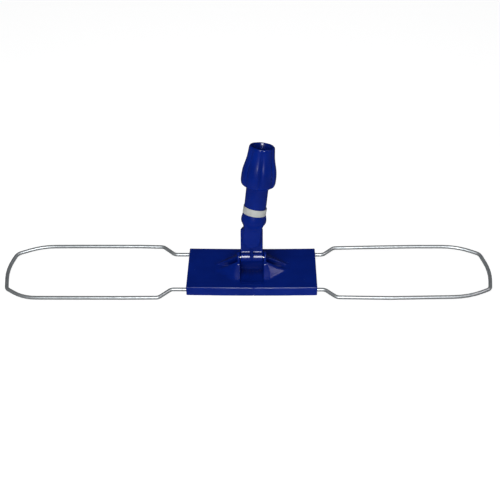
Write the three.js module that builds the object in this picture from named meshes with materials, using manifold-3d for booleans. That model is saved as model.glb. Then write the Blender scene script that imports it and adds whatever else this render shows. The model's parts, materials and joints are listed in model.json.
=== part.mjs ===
// Flat mop frame: a moulded plate that carries two steel wire loops, and a two-axis swivel neck
// whose socket clamps a pole with a fluted nut. Millimetres, X along the frame, -Y to the front,
// +Z up. The origin lies on the underside of the plate, at its centre.
import * as THREE from 'three';
import { ConvexGeometry } from 'three/addons/geometries/ConvexGeometry.js';
import { mergeVertices } from 'three/addons/utils/BufferGeometryUtils.js';
import Module from 'manifold-3d';

const wasm = await Module();
wasm.setup();

// ---- Driving dimensions -----------------------------------------------------------------
const GAP = 0.35; // clearance left between touching pieces
const OVERLAP = 1; // how far solids that are joined run into each other
const PAST = 40; // how far cutting tools run past the surface that they open

const PLATE = { length: 200, depth: 95, height: 16, wall: 2, skin: 2.2, edge: 4, floor: 2 };

const WIRE = {
  diameter: 5.8,
  z: 6.8,
  legY: 41.1, // the legs run just inside the front and rear lips
  loopY: 61, // the long sides run outside them
  legStart: 112.8, // corner where the leg cranks outwards, from the plate's centre
  legInside: 66, // from that corner back to the hooked end
  hook: 8.5,
  shoulder: 206.5, // from the same corner out to the soft bend
  cornerX: 254.6,
  cornerY: 41,
  tipX: 259.7,
  pulledOut: 12.5, // the left loop stands this much further out than the right one
};

const HINGE = { z: 36, pin: 2.75, barrel: 7.5, half: 17 };
const EAR = { inner: 17.4, outer: 22.3, radius: 9.5 };
const BOSS = { ridgeY: 7.5, ridgeZ: 32.3, tipX: 56, footX: 28, footY: 29, wall: 2.4, rib: 2 };
// The mount's faces slope gently, so inside it their feet move in by more than the wall.
const SLOPE_INSET = { side: 1.5, tip: 2 };
const RECESS = { floor: 9.4, front: -38, rampStart: -20 };
const SADDLE = { top: 27.2, back: 9, foot: 26, endWall: 1.5 };

const LEAN_BACK = 15; // degrees, neck behind the vertical at rest
const LEAN_RIGHT = 6.3; // degrees, socket to the right of the neck at rest

const TONGUE = { half: 17, thickness: 11, pivot: 34.4, top: 20.5 };
const SIDE_PIN = { radius: 3.5, head: 4.9, headDepth: 2.1, blindWall: 2 };
const FORK = { half: 13.65, thickness: 27, slot: 11.6, crown: 22.5 };
const TUBE = { outer: 16.65, bore: 13, boreFloor: 36, top: 114 };
const BULGE = { radius: 19.3, middle: 28.2, neckRadius: 15.1, neckZ: 19.5 };
const THREAD = { pitch: 4, root: 15.2, from: 95, turns: 3.5, base: 1.9, crest: 1.1 };
const RING = { bottom: 39.6, height: 10.6, inner: 17.1, outer: 17.9 };
const RING_TILT = { back: 2.2, right: 3 }; // degrees, the band sits a little askew on the tube
const COLLET = { bottom: 114.8, top: 135.8, inner: 13.2, outer: 16, nose: 13.8, slot: 1.6 };
const NUT = {
  bottom: 83.5,
  top: 146,
  bore: 17,
  threadCrest: 15.75,
  pocketBottom: 116,
  pocketTop: 136.3,
  throat: 14.1,
  mouth: 16,
  lobes: 7,
  firstGroove: -87, // degrees about the axis, so that one groove faces the front
};
// Up the nut: height, radius over the lobes, and depth of the grooves between them.
const NUT_PROFILE = [
  [83.5, 19.5, 0.3], [85, 23.2, 0.9], [87.2, 25.1, 1.5], [90.5, 26.1, 1.9], [96, 26.3, 2.2],
  [103, 26.1, 2.2], [109, 25.5, 2.1], [115, 24.2, 1.9], [121, 22.6, 1.7], [128, 21.1, 1.5],
  [136, 20, 1.2], [144.5, 19.2, 0.9], [146, 18.6, 0.7],
];

const CLAMP = { x: 70, width: 12, top: 8.6, half: 37.6, screwY: 26 };
const PAD = { half: 4, side: 3.2 }; // on the cover, over each wire leg at the clamp bar
const BASE_SCREW = { x: 88, y: 30 };
const SCREW = { shank: 1.7, head: 3.2, headHeight: 2.1, chamfer: 0.8, endGap: 2 };
const PILOT_ROOF = 0.6; // left between a pilot hole and the cover's skin
const BOSS_RADIUS = 4;

// ---- Materials --------------------------------------------------------------------------
const BLUE = 0x0b2c93;
const WHITE = 0xd6d8d2;
const STEEL = 0xa7abac;

function plastic(color) {
  return new THREE.MeshStandardMaterial({ color, roughness: 0.32, metalness: 0 });
}

function metal() {
  return new THREE.MeshStandardMaterial({ color: STEEL, roughness: 0.35, metalness: 1 });
}

// ---- Geometry helpers -------------------------------------------------------------------
function volumeOf(geometry) {
  const p = geometry.attributes.position;
  const index = geometry.index;
  const [a, b, c] = [new THREE.Vector3(), new THREE.Vector3(), new THREE.Vector3()];
  let sum = 0;
  for (let i = 0; i < index.count; i += 3) {
    a.fromBufferAttribute(p, index.getX(i));
    b.fromBufferAttribute(p, index.getX(i + 1));
    c.fromBufferAttribute(p, index.getX(i + 2));
    sum += a.dot(b.cross(c)) / 6;
  }
  return sum;
}

// A closed three.js geometry as a manifold solid that faces outwards.
function solid(source) {
  const bare = source.clone();
  bare.deleteAttribute('normal');
  bare.deleteAttribute('uv');
  const merged = mergeVertices(bare, 1e-4);
  const flip = volumeOf(merged) < 0;
  const corners = [];
  for (let i = 0; i < merged.index.count; i += 3) {
    const [a, b, c] = [0, 1, 2].map((k) => merged.index.getX(i + k));
    if (a !== b && b !== c && c !== a) corners.push(a, ...(flip ? [c, b] : [b, c]));
  }
  const mesh = new wasm.Mesh({
    numProp: 3,
    vertProperties: new Float32Array(merged.attributes.position.array),
    triVerts: new Uint32Array(corners),
  });
  return new wasm.Manifold(mesh);
}

function joined(...solids) {
  return solids.reduce((sum, next) => sum.add(next));
}

function cut(body, ...tools) {
  return tools.reduce((rest, tool) => rest.subtract(tool), body);
}

function piece(name, body, material) {
  const { vertProperties, triVerts } = body.getMesh();
  const geometry = new THREE.BufferGeometry();
  geometry.setAttribute('position', new THREE.BufferAttribute(vertProperties, 3));
  geometry.setIndex(new THREE.BufferAttribute(triVerts, 1));
  geometry.computeVertexNormals();
  const mesh = new THREE.Mesh(geometry, material);
  mesh.name = name;
  return mesh;
}

function box([x0, x1], [y0, y1], [z0, z1]) {
  const geometry = new THREE.BoxGeometry(x1 - x0, y1 - y0, z1 - z0);
  geometry.translate((x0 + x1) / 2, (y0 + y1) / 2, (z0 + z1) / 2);
  return solid(geometry);
}

function rodZ(radius, z0, z1, x = 0, y = 0, sides = 16) {
  const geometry = new THREE.CylinderGeometry(radius, radius, z1 - z0, sides);
  geometry.rotateX(Math.PI / 2);
  geometry.translate(x, y, (z0 + z1) / 2);
  return solid(geometry);
}

function rodX(radius, x0, x1, z, sides = 20) {
  const geometry = new THREE.CylinderGeometry(radius, radius, x1 - x0, sides);
  geometry.rotateZ(Math.PI / 2);
  geometry.translate((x0 + x1) / 2, 0, z);
  return solid(geometry);
}

function rodY(radius, y0, y1, sides = 24) {
  const geometry = new THREE.CylinderGeometry(radius, radius, y1 - y0, sides);
  geometry.translate(0, (y0 + y1) / 2, 0);
  return solid(geometry);
}

function hull(points) {
  return solid(new ConvexGeometry(points.map((p) => new THREE.Vector3(...p))));
}

// A profile of [radius, height] pairs turned about +Z. It closes on itself or on the axis.
function turned(profile, sides) {
  const points = profile.map(([r, z]) => new THREE.Vector2(r, z));
  const geometry = new THREE.LatheGeometry(points, sides);
  geometry.rotateX(Math.PI / 2);
  return solid(geometry);
}

// An outline in X and Z, extruded along Y.
function slabXZ(shape, y0, y1, curveSegments) {
  const geometry = new THREE.ExtrudeGeometry(shape, {
    depth: y1 - y0,
    bevelEnabled: false,
    curveSegments,
  });
  geometry.rotateX(Math.PI / 2);
  geometry.translate(0, y1, 0);
  return solid(geometry);
}

// An outline in Y and Z, extruded along X.
function slabYZ(shape, x0, x1, curveSegments) {
  const geometry = new THREE.ExtrudeGeometry(shape, {
    depth: x1 - x0,
    bevelEnabled: false,
    curveSegments,
  });
  geometry.rotateY(Math.PI / 2);
  geometry.rotateX(Math.PI / 2);
  geometry.translate(x0, 0, 0);
  return solid(geometry);
}

// Equal rings of points skinned into one closed solid with flat ends.
function lofted(rings) {
  const n = rings[0].length;
  const points = rings.flat();
  const index = [];
  for (let i = 0; i + 1 < rings.length; i += 1) {
    for (let k = 0; k < n; k += 1) {
      const [a, b] = [i * n + k, i * n + ((k + 1) % n)];
      index.push(a, b, b + n, a, b + n, a + n);
    }
  }
  const last = (rings.length - 1) * n;
  for (let k = 1; k + 1 < n; k += 1) {
    index.push(0, k + 1, k, last, last + k, last + k + 1);
  }
  const geometry = new THREE.BufferGeometry().setFromPoints(points);
  geometry.setIndex(index);
  return solid(geometry);
}

// ---- Plate ------------------------------------------------------------------------------
const HALF_LENGTH = PLATE.length / 2;
const HALF_DEPTH = PLATE.depth / 2;
const SKIN_Z = PLATE.height - PLATE.skin;
const SIDES = [-1, 1];

function eachCorner(x, y) {
  return SIDES.flatMap((sx) => SIDES.map((sy) => [sx * x, sy * y]));
}

function plateOutline() {
  const { height, edge } = PLATE;
  const outline = new THREE.Shape();
  outline.moveTo(-HALF_DEPTH, 0);
  outline.lineTo(HALF_DEPTH, 0);
  outline.lineTo(HALF_DEPTH, height - edge);
  outline.absarc(HALF_DEPTH - edge, height - edge, edge, 0, Math.PI / 2);
  outline.lineTo(edge - HALF_DEPTH, height);
  outline.absarc(edge - HALF_DEPTH, height - edge, edge, Math.PI / 2, Math.PI);
  outline.closePath();
  return outline;
}

// One half of the raised hinge mount: a ridge that falls outwards, with facets front and rear.
function bossHalf(side, inset, innerX, bottom) {
  const { ridgeY, ridgeZ, tipX, footX, footY } = BOSS;
  const points = SIDES.flatMap((s) => [
    [side * innerX, s * (ridgeY - inset), ridgeZ - inset],
    [side * Math.max(innerX, EAR.outer - inset), s * (ridgeY - inset), ridgeZ - inset],
    [side * (tipX - SLOPE_INSET.tip * inset), s * (ridgeY - inset), bottom],
    [side * innerX, s * (footY - SLOPE_INSET.side * inset), bottom],
    [side * (footX - inset), s * (footY - SLOPE_INSET.side * inset), bottom],
  ]);
  return hull(points);
}

// The open channel along the middle of the mount, between the front and rear ribs.
function channel(side, halfWidth, floor) {
  const span = [side * EAR.outer, side * BOSS.tipX].sort((a, b) => a - b);
  return box(span, [-halfWidth, halfWidth], [floor, PAST]);
}

function ear(side) {
  const { inner, outer, radius } = EAR;
  const outline = new THREE.Shape();
  outline.moveTo(-radius, PLATE.height);
  outline.lineTo(radius, PLATE.height);
  outline.lineTo(radius, HINGE.z);
  outline.absarc(0, HINGE.z, radius, 0, Math.PI);
  outline.closePath();
  return slabYZ(outline, ...(side > 0 ? [inner, outer] : [-outer, -inner]), 10);
}

// The low block under and behind the barrel, between the ears.
function saddle(inset, bottom) {
  const { top, back, foot, endWall } = SADDLE;
  const x = inset ? EAR.inner - endWall : EAR.inner + OVERLAP / 2;
  return hull(
    SIDES.flatMap((s) => [
      [s * x, inset, bottom],
      [s * x, inset, top - inset],
      [s * x, back - inset / 2, top - inset],
      [s * x, foot - SLOPE_INSET.side * inset, bottom],
    ]),
  );
}

// The pocket in front of the barrel: a flat floor that ramps up towards the front lip.
function recess(inset) {
  const x = EAR.inner + inset;
  const { floor, front, rampStart } = RECESS;
  const low = floor - inset;
  const high = inset ? PLATE.height - OVERLAP : PLATE.height + PAST;
  return hull(
    SIDES.flatMap((s) => [
      [s * x, inset, low],
      [s * x, inset, high],
      [s * x, rampStart, low],
      [s * x, front - inset, PLATE.height - inset],
      [s * x, front - inset, high],
    ]),
  );
}

function topCover() {
  const { wall } = PLATE;
  const inside = box(
    [wall - HALF_LENGTH, HALF_LENGTH - wall],
    [wall - HALF_DEPTH, HALF_DEPTH - wall],
    [-PAST, SKIN_Z],
  );
  let body = cut(slabYZ(plateOutline(), -HALF_LENGTH, HALF_LENGTH, 4), inside);
  for (const side of SIDES) {
    const mount = bossHalf(side, 0, EAR.inner, SKIN_Z + OVERLAP);
    const hollow = bossHalf(side, BOSS.wall, EAR.outer, SKIN_Z - OVERLAP);
    body = joined(body, cut(mount, channel(side, BOSS.ridgeY - BOSS.rib, PLATE.height)), ear(side));
    body = cut(body, cut(hollow, channel(side, BOSS.ridgeY, 0)));
  }
  body = joined(body, saddle(0, SKIN_Z + OVERLAP));
  body = cut(body, saddle(PLATE.skin, SKIN_Z - OVERLAP));
  body = cut(joined(body, recess(PLATE.wall)), recess(0));
  const bosses = [
    ...eachCorner(CLAMP.x, CLAMP.screwY).map(([x, y]) => [x, y, CLAMP.top + GAP]),
    ...eachCorner(BASE_SCREW.x, BASE_SCREW.y).map(([x, y]) => [x, y, PLATE.floor + GAP]),
  ];
  for (const [x, y, foot] of bosses) {
    body = joined(body, rodZ(BOSS_RADIUS, foot, SKIN_Z + OVERLAP, x, y));
    body = cut(body, rodZ(SCREW.shank + GAP, 0, SKIN_Z - PILOT_ROOF, x, y));
  }
  const notch = WIRE.diameter / 2 + GAP;
  for (const [x, y] of eachCorner(CLAMP.x, WIRE.legY)) {
    const pad = [[x - PAD.half, x + PAD.half], [y - PAD.side, y + PAD.side]];
    body = joined(body, box(...pad, [WIRE.z + notch, SKIN_Z + OVERLAP]));
  }
  for (const [x, y] of eachCorner(HALF_LENGTH, WIRE.legY)) {
    const across = [x - wall - OVERLAP, x + wall + OVERLAP];
    body = cut(body, box(across, [y - notch, y + notch], [-PAST, WIRE.z + notch]));
  }
  return cut(body, rodX(HINGE.pin + GAP, -PAST, PAST, HINGE.z));
}

function basePlate() {
  const gap = PLATE.wall + GAP;
  const [x, y] = [HALF_LENGTH - gap, HALF_DEPTH - gap];
  let body = box([-x, x], [-y, y], [0, PLATE.floor]);
  for (const [sx, sy] of eachCorner(BASE_SCREW.x, BASE_SCREW.y)) {
    const [narrow, wide] = [SCREW.shank + GAP, SCREW.head + 2 * GAP];
    const sink = turned(
      [[0, -OVERLAP], [wide, -OVERLAP], [wide, 0], [narrow, PLATE.floor], [narrow, PAST], [0, PAST]],
      16,
    );
    body = cut(body, sink.translate([sx, sy, 0]));
  }
  return body;
}

// The strap across both legs of a loop, screwed up into the cover.
function clampBar(side) {
  const { x, width, top, half, screwY } = CLAMP;
  const span = [side * x - width / 2, side * x + width / 2];
  const bottom = PLATE.floor + GAP;
  const tongue = WIRE.z - WIRE.diameter / 2 - GAP;
  const edge = HALF_DEPTH - PLATE.wall - GAP;
  let body = joined(
    box(span, [-half, half], [bottom, top]),
    box(span, [-edge, edge], [bottom, tongue]),
  );
  for (const y of [-screwY, screwY]) {
    const headRoom = bottom + SCREW.headHeight + GAP;
    body = cut(body, rodZ(SCREW.shank + GAP, 0, top + PAST, side * x, y));
    body = cut(body, rodZ(SCREW.head + GAP, 0, headRoom, side * x, y));
  }
  return body;
}

function panScrew() {
  const { shank, head, headHeight, chamfer, endGap } = SCREW;
  const low = PLATE.floor + GAP;
  return turned(
    [[0, low], [head - chamfer, low], [head, low + chamfer], [head, low + headHeight],
      [shank, low + headHeight], [shank, SKIN_Z - endGap], [0, SKIN_Z - endGap + OVERLAP]],
    16,
  );
}

function flatScrew() {
  const { shank, head, headHeight, endGap } = SCREW;
  const sunk = GAP / 2;
  return turned(
    [[0, sunk], [head, sunk], [shank, headHeight], [shank, SKIN_Z - endGap],
      [0, SKIN_Z - endGap + OVERLAP]],
    16,
  );
}

// ---- Wire loops -------------------------------------------------------------------------
// Straight runs joined by arcs: each corner is [x, y, bend radius].
function roundedRun(corners, stepAngle) {
  const run = [new THREE.Vector2(corners[0][0], corners[0][1])];
  for (let i = 1; i + 1 < corners.length; i += 1) {
    const [before, here, after] = [-1, 0, 1].map((k) => new THREE.Vector2(...corners[i + k]));
    const into = before.sub(here).normalize();
    const out = after.sub(here).normalize();
    const half = Math.acos(THREE.MathUtils.clamp(into.dot(out), -1, 1)) / 2;
    const radius = corners[i][2];
    const reach = radius / Math.tan(half);
    const centre = into.clone().add(out).normalize().multiplyScalar(radius / Math.sin(half));
    const start = into.clone().multiplyScalar(reach).sub(centre);
    const turn = Math.PI - 2 * half;
    const spin = Math.sign(into.cross(out)) || 1;
    const steps = Math.max(2, Math.ceil(turn / stepAngle));
    for (let k = 0; k <= steps; k += 1) {
      const arm = start.clone().rotateAround(new THREE.Vector2(), (-spin * turn * k) / steps);
      run.push(here.clone().add(centre).add(arm));
    }
  }
  const last = corners.at(-1);
  run.push(new THREE.Vector2(last[0], last[1]));
  return run;
}

// A curve through given stations, so that bends are fine and straight runs are one step.
class StationCurve extends THREE.Curve {
  constructor(stations) {
    super();
    this.stations = stations;
  }

  getPointAt(u) {
    const at = u * (this.stations.length - 1);
    const i = Math.min(Math.floor(at), this.stations.length - 2);
    return this.stations[i].clone().lerp(this.stations[i + 1], at - i);
  }

  getTangentAt(u) {
    const step = 0.5 / (this.stations.length - 1);
    const [low, high] = [Math.max(0, u - step), Math.min(1, u + step)];
    return this.getPointAt(high).sub(this.getPointAt(low)).normalize();
  }

  getSpacedPoints() {
    return this.stations;
  }
}

function wireLoop(side) {
  const { legY, loopY, legStart, legInside, hook, shoulder, cornerX, cornerY, tipX } = WIRE;
  const origin = legStart + (side < 0 ? WIRE.pulledOut : 0);
  const half = [
    [-legInside, legY - hook, 0],
    [-legInside, legY, 4],
    [0, legY, 8],
    [loopY - legY, loopY, 8],
    [shoulder, loopY, 70],
    [cornerX, cornerY, 8],
  ];
  const far = half.map(([x, y, r]) => [x, -y, r]).reverse();
  const corners = [...half, [tipX, 0, 150], ...far].map(([x, y, r]) => [x + origin, y, r]);
  const run = roundedRun(corners, THREE.MathUtils.degToRad(14));
  const stations = run.map((p) => new THREE.Vector3(side * p.x, p.y, WIRE.z));
  const section = new THREE.Shape().absarc(0, 0, WIRE.diameter / 2, 0, 2 * Math.PI);
  const geometry = new THREE.ExtrudeGeometry(section, {
    steps: stations.length - 1,
    curveSegments: 4,
    bevelEnabled: false,
    extrudePath: new StationCurve(stations),
  });
  return solid(geometry);
}

// ---- Neck, in its own frame: +Z up the neck from the hinge axis ---------------------------
function knuckle() {
  const { half, thickness, pivot, top } = TONGUE;
  const rise = Math.sqrt(top ** 2 - half ** 2);
  const outline = new THREE.Shape();
  outline.moveTo(-half, 0);
  outline.lineTo(half, 0);
  outline.lineTo(half, pivot + rise);
  outline.absarc(0, pivot, top, Math.atan2(rise, half), Math.atan2(rise, -half));
  outline.closePath();
  const body = joined(
    rodX(HINGE.barrel, -HINGE.half, HINGE.half, 0, 28),
    slabXZ(outline, -thickness / 2, thickness / 2, 8),
  );
  const sideHole = rodY(SIDE_PIN.radius + GAP, -thickness, thickness).translate([0, 0, pivot]);
  return cut(body, rodX(HINGE.pin + GAP, -PAST, PAST, 0), sideHole);
}

function hingePin() {
  const half = EAR.outer - GAP;
  return rodX(HINGE.pin, -half, half, 0);
}

// ---- Socket, in its own frame: +Z up the tube from the side pivot -------------------------
function threadRidge(root, crest, z0, turns) {
  const { pitch, base, crest: flat } = THREAD;
  const perTurn = 24;
  const rings = [];
  for (let i = 0; i <= turns * perTurn; i += 1) {
    const angle = (2 * Math.PI * i) / perTurn;
    const z = z0 + (pitch * i) / perTurn;
    const at = (r, dz) => new THREE.Vector3(r * Math.cos(angle), r * Math.sin(angle), z + dz);
    rings.push([at(root, -base / 2), at(crest, -flat / 2), at(crest, flat / 2),
      at(root, base / 2)]);
  }
  return lofted(rings);
}

function socket() {
  const { half, thickness, slot, crown } = FORK;
  const { outer, bore, boreFloor, top } = TUBE;
  const { radius, middle, neckRadius, neckZ } = BULGE;
  const lug = new THREE.Shape();
  lug.moveTo(half, middle);
  lug.lineTo(-half, middle);
  lug.lineTo(-half, 0);
  lug.absarc(0, 0, half, Math.PI, 2 * Math.PI);
  lug.closePath();
  const stem = turned(
    [[0, neckZ - 3], [neckRadius - 1, neckZ - 3], [neckRadius, neckZ], [radius - 1, middle - 2.5],
      [radius, middle], [radius - 0.3, middle + 3], [outer + 1, middle + 7],
      [outer + 0.15, middle + 9.3], [outer, middle + 11], [outer, THREAD.from],
      [THREAD.root, THREAD.from + 0.6], [THREAD.root, top], [0, top]],
    36,
  );
  const cheeks = slabXZ(lug, -thickness / 2, thickness / 2, 9);
  const ridge = threadRidge(THREAD.root - 0.3, outer, THREAD.from + 2, THREAD.turns);
  const poleBore = turned(
    [[0, boreFloor], [bore, boreFloor], [bore, top - 5], [bore + 1.9, top], [bore + 2.3, top + 1],
      [0, top + 1]],
    36,
  );
  const gap = [-slot / 2, slot / 2];
  const headSeat = thickness / 2 - SIDE_PIN.headDepth - GAP;
  return cut(
    joined(cheeks, stem, ridge),
    poleBore,
    rodY(crown, ...gap, 48),
    box([-PAST, PAST], gap, [-PAST, 6]),
    rodY(SIDE_PIN.radius + GAP, SIDE_PIN.blindWall - thickness / 2, thickness),
    rodY(SIDE_PIN.head + GAP, headSeat, thickness),
  );
}

function sidePin() {
  const { radius, head, headDepth, blindWall } = SIDE_PIN;
  const face = FORK.thickness / 2 - GAP / 2;
  const shank = rodY(radius, blindWall + GAP - FORK.thickness / 2, face);
  return joined(shank, rodY(head, face - headDepth, face));
}

function markerRing() {
  const { height, inner, outer } = RING;
  const [z0, z1] = [-height / 2, height / 2];
  return turned(
    [[inner, z0], [outer - 0.3, z0], [outer, z0 + 0.4], [outer, z1 - 0.4], [outer - 0.3, z1],
      [inner, z1], [inner, z0]],
    36,
  );
}

function collet() {
  const { bottom, top, inner, outer, nose, slot } = COLLET;
  const sleeve = turned(
    [[inner, bottom], [nose, bottom], [outer, bottom + 4.8], [outer, top], [inner, top],
      [inner, bottom]],
    36,
  );
  const slots = [0, 90].map((turn) =>
    box([-outer - 1, outer + 1], [-slot / 2, slot / 2], [bottom - 1, top - 5]).rotate([0, 0, turn]),
  );
  return cut(sleeve, ...slots);
}

function nutRing([z, radius, groove]) {
  const perLobe = 8;
  const ring = [];
  for (let i = 0; i < NUT.lobes * perLobe; i += 1) {
    const fromGroove = (2 * Math.PI * i) / (NUT.lobes * perLobe);
    const crease = (1 - Math.abs(Math.sin((NUT.lobes / 2) * fromGroove))) ** 1.7;
    const r = radius - groove * crease;
    const angle = fromGroove + THREE.MathUtils.degToRad(NUT.firstGroove);
    ring.push(new THREE.Vector3(r * Math.cos(angle), r * Math.sin(angle), z));
  }
  return ring;
}

function collarNut() {
  const { bottom, top, bore, threadCrest, pocketBottom, pocketTop, throat, mouth } = NUT;
  const pocket = COLLET.outer + GAP;
  const inside = turned(
    [[0, bottom - 1], [bore, bottom - 1], [bore, pocketBottom - 3], [pocket, pocketBottom],
      [pocket, pocketTop], [throat, pocketTop], [throat, pocketTop + 1.5], [mouth, top - 1],
      [mouth + 0.5, top + 1], [0, top + 1]],
    36,
  );
  const ridge = threadRidge(bore + 0.3, threadCrest, THREAD.from + 4, THREAD.turns - 1);
  return joined(cut(lofted(NUT_PROFILE.map(nutRing)), inside), ridge);
}

// ---- Assembly ---------------------------------------------------------------------------
const part = new THREE.Group();

part.add(piece('top_cover', topCover(), plastic(BLUE)));
part.add(piece('base_plate', basePlate(), plastic(BLUE)));

for (const [side, hand] of [[-1, 'left'], [1, 'right']]) {
  part.add(piece(`wire_loop_${hand}`, wireLoop(side), metal()));
  part.add(piece(`clamp_bar_${hand}`, clampBar(side), plastic(BLUE)));
  for (const [end, place] of [[-1, 'front'], [1, 'rear']]) {
    const clampScrew = piece(`clamp_screw_${hand}_${place}`, panScrew(), metal());
    clampScrew.position.set(side * CLAMP.x, end * CLAMP.screwY, 0);
    const baseScrew = piece(`base_screw_${hand}_${place}`, flatScrew(), metal());
    baseScrew.position.set(side * BASE_SCREW.x, end * BASE_SCREW.y, 0);
    part.add(clampScrew, baseScrew);
  }
}

const hinge = new THREE.Group();
hinge.position.set(0, 0, HINGE.z);
hinge.add(piece('hinge_pin', hingePin(), metal()));

const neck = new THREE.Group();
neck.rotation.x = THREE.MathUtils.degToRad(-LEAN_BACK);
neck.add(piece('knuckle', knuckle(), plastic(BLUE)));

const head = new THREE.Group();
head.position.set(0, 0, TONGUE.pivot);
head.rotation.y = THREE.MathUtils.degToRad(LEAN_RIGHT);
head.add(piece('socket', socket(), plastic(BLUE)));
head.add(piece('side_pin', sidePin(), metal()));
head.add(piece('collet', collet(), plastic(BLUE)));
head.add(piece('collar_nut', collarNut(), plastic(BLUE)));

// The band turns about its own centre, which stays on the tube's axis.
const ringSeat = new THREE.Group();
ringSeat.position.z = RING.bottom + RING.height / 2;
ringSeat.rotation.x = THREE.MathUtils.degToRad(-RING_TILT.back);
ringSeat.rotation.y = THREE.MathUtils.degToRad(RING_TILT.right);
ringSeat.add(piece('marker_ring', markerRing(), plastic(WHITE)));
head.add(ringSeat);

neck.add(head);
hinge.add(neck);
part.add(hinge);

export default part;
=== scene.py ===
import json
import math

import bpy
import numpy as np
from mathutils import Matrix, Vector


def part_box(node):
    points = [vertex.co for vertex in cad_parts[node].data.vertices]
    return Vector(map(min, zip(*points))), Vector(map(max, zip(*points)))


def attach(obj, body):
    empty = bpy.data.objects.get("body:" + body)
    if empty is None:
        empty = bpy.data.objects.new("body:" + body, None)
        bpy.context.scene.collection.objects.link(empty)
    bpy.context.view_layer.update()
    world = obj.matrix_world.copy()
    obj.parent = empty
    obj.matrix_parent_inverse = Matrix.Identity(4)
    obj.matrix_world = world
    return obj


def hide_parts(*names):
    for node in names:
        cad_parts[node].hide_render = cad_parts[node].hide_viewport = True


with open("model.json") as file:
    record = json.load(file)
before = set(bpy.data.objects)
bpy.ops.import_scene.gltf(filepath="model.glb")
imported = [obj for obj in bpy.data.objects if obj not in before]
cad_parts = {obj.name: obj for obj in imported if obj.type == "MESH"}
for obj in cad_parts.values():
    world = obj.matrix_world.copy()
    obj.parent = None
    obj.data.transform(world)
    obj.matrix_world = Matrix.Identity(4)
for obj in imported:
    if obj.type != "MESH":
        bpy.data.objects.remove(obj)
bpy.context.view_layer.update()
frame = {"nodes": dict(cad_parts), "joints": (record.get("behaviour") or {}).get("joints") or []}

MM = 0.001

# ---- Frames of the moving parts, from the joints --------------------------------------------
JOINTS = {joint["name"]: joint for joint in frame["joints"]}


def axes_at(origin, y_axis, z_axis):
    """Placing matrix, from local millimetres to metres in the row frame."""
    z = Vector(z_axis).normalized()
    x = Vector(y_axis).cross(z).normalized()
    turn = Matrix((x, z.cross(x), z)).transposed().to_4x4()
    return Matrix.Translation(Vector(origin)) @ turn @ Matrix.Scale(MM, 4)


SIDE_AXIS = Vector(JOINTS["neck_side"]["axis"])
TUBE_AXIS = Vector(JOINTS["nut_turn"]["axis"])
PLATE_FRAME = Matrix.Scale(MM, 4)
NECK_FRAME = axes_at(JOINTS["neck_tilt"]["pos_m"], SIDE_AXIS, Vector((1, 0, 0)).cross(SIDE_AXIS))
HEAD_FRAME = axes_at(JOINTS["neck_side"]["pos_m"], SIDE_AXIS, TUBE_AXIS)


def size_mm(node):
    """A node's lowest and highest corners at rest, in millimetres."""
    low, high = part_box(node)
    return low / MM, high / MM


COVER_LOW, COVER_HIGH = size_mm("top_cover")
HALF_LENGTH, HALF_DEPTH = COVER_HIGH.x, COVER_HIGH.y
HINGE_Z = JOINTS["neck_tilt"]["pos_m"][2] / MM
EAR_RADIUS = COVER_HIGH.z - HINGE_Z
PIVOT = (Vector(JOINTS["neck_side"]["pos_m"]) - Vector(JOINTS["neck_tilt"]["pos_m"])).length / MM

# ---- Sizes in millimetres -------------------------------------------------------------------
PLATE_TOP, WALL, SKIN = 16.0, 2.0, 2.2
FRONT_EDGE, REAR_EDGE, LIP_STEP, STEP_DEPTH = 2.0, 1.6, 10.0, 0.3
PLATE_BOW, REAR_DRAFT = 1.2, 1.1
NICK, NICK_DEPTH, NICK_WIDTH, NICK_LENGTH, NICK_SLANT = (4.0, -44.5), 1.2, 0.8, 4.0, 0.35
EAR_INNER, EAR_OUTER = 17.4, 22.3
RIDGE_Y, RIDGE_Z, RIDGE_TIP, RIDGE_SAG, RIB = 7.5, 32.3, 56.0, 0.7, 2.0
FACET_FOOT, FACET_MIDDLE = (27.0, 29.0), (26.0, 18.5, 24.8)
RECESS_FLOOR, RECESS_FRONT, RECESS_RAMP = 9.4, -38.0, -20.0
RECESS_RIB_HEIGHT, RECESS_RIB_PITCH, RECESS_LEAN = 0.12, 5.6, 0.13
BOSS_SKIN, BELOW = 2.4, -9
SADDLE_TOP, SADDLE_BACK, SADDLE_FOOT = 27.2, 9.0, 26.0
BARREL, BARREL_HALF, PIN = 7.5, 17.0, 2.75
TONGUE_HALF, TONGUE_THICK, TONGUE_TOP = 17.0, 11.0, 20.5
LUG_HALF, FORK_THICK, SLOT, CROWN = 13.65, 27.0, 11.6, 22.5
TUBE, BORE, BORE_FLOOR, TUBE_END = 16.65, 13.0, 36.0, 114.0
THREAD_PITCH, THREAD_ROOT, THREAD_START = 4.0, 15.2, 95.0
SIDE_PIN, SIDE_PIN_HEAD, SIDE_PIN_DEPTH = 3.5, 4.9, 2.1
CLEARANCE = 0.35
CLAMP_X, CLAMP_Y, CLAMP_TOP = 70.0, 26.0, 8.6
BASE_X, BASE_Y, BASE_TOP = 88.0, 30.0, 2.0
SCREW_SHANK, SCREW_HEAD, SCREW_BOSS = 1.7, 3.2, 4.0


# ---- Distance functions: negative inside, points in rows --------------------------------------
def blend_union(a, b, width):
    mix = np.clip(0.5 + 0.5 * (b - a) / width, 0, 1)
    return b + (a - b) * mix - width * mix * (1 - mix)


def blend_both(a, b, width):
    return -blend_union(-a, -b, width)


def blend_cut(a, tool, width):
    return -blend_union(-a, tool, width)


def block(p, low, high, edge=0.0):
    low, high = np.array(low, float), np.array(high, float)
    q = np.abs(p - (low + high) / 2) - (high - low) / 2 + edge
    outside = np.sqrt((np.maximum(q, 0) ** 2).sum(1))
    return outside + np.minimum(q.max(1), 0) - edge


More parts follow.
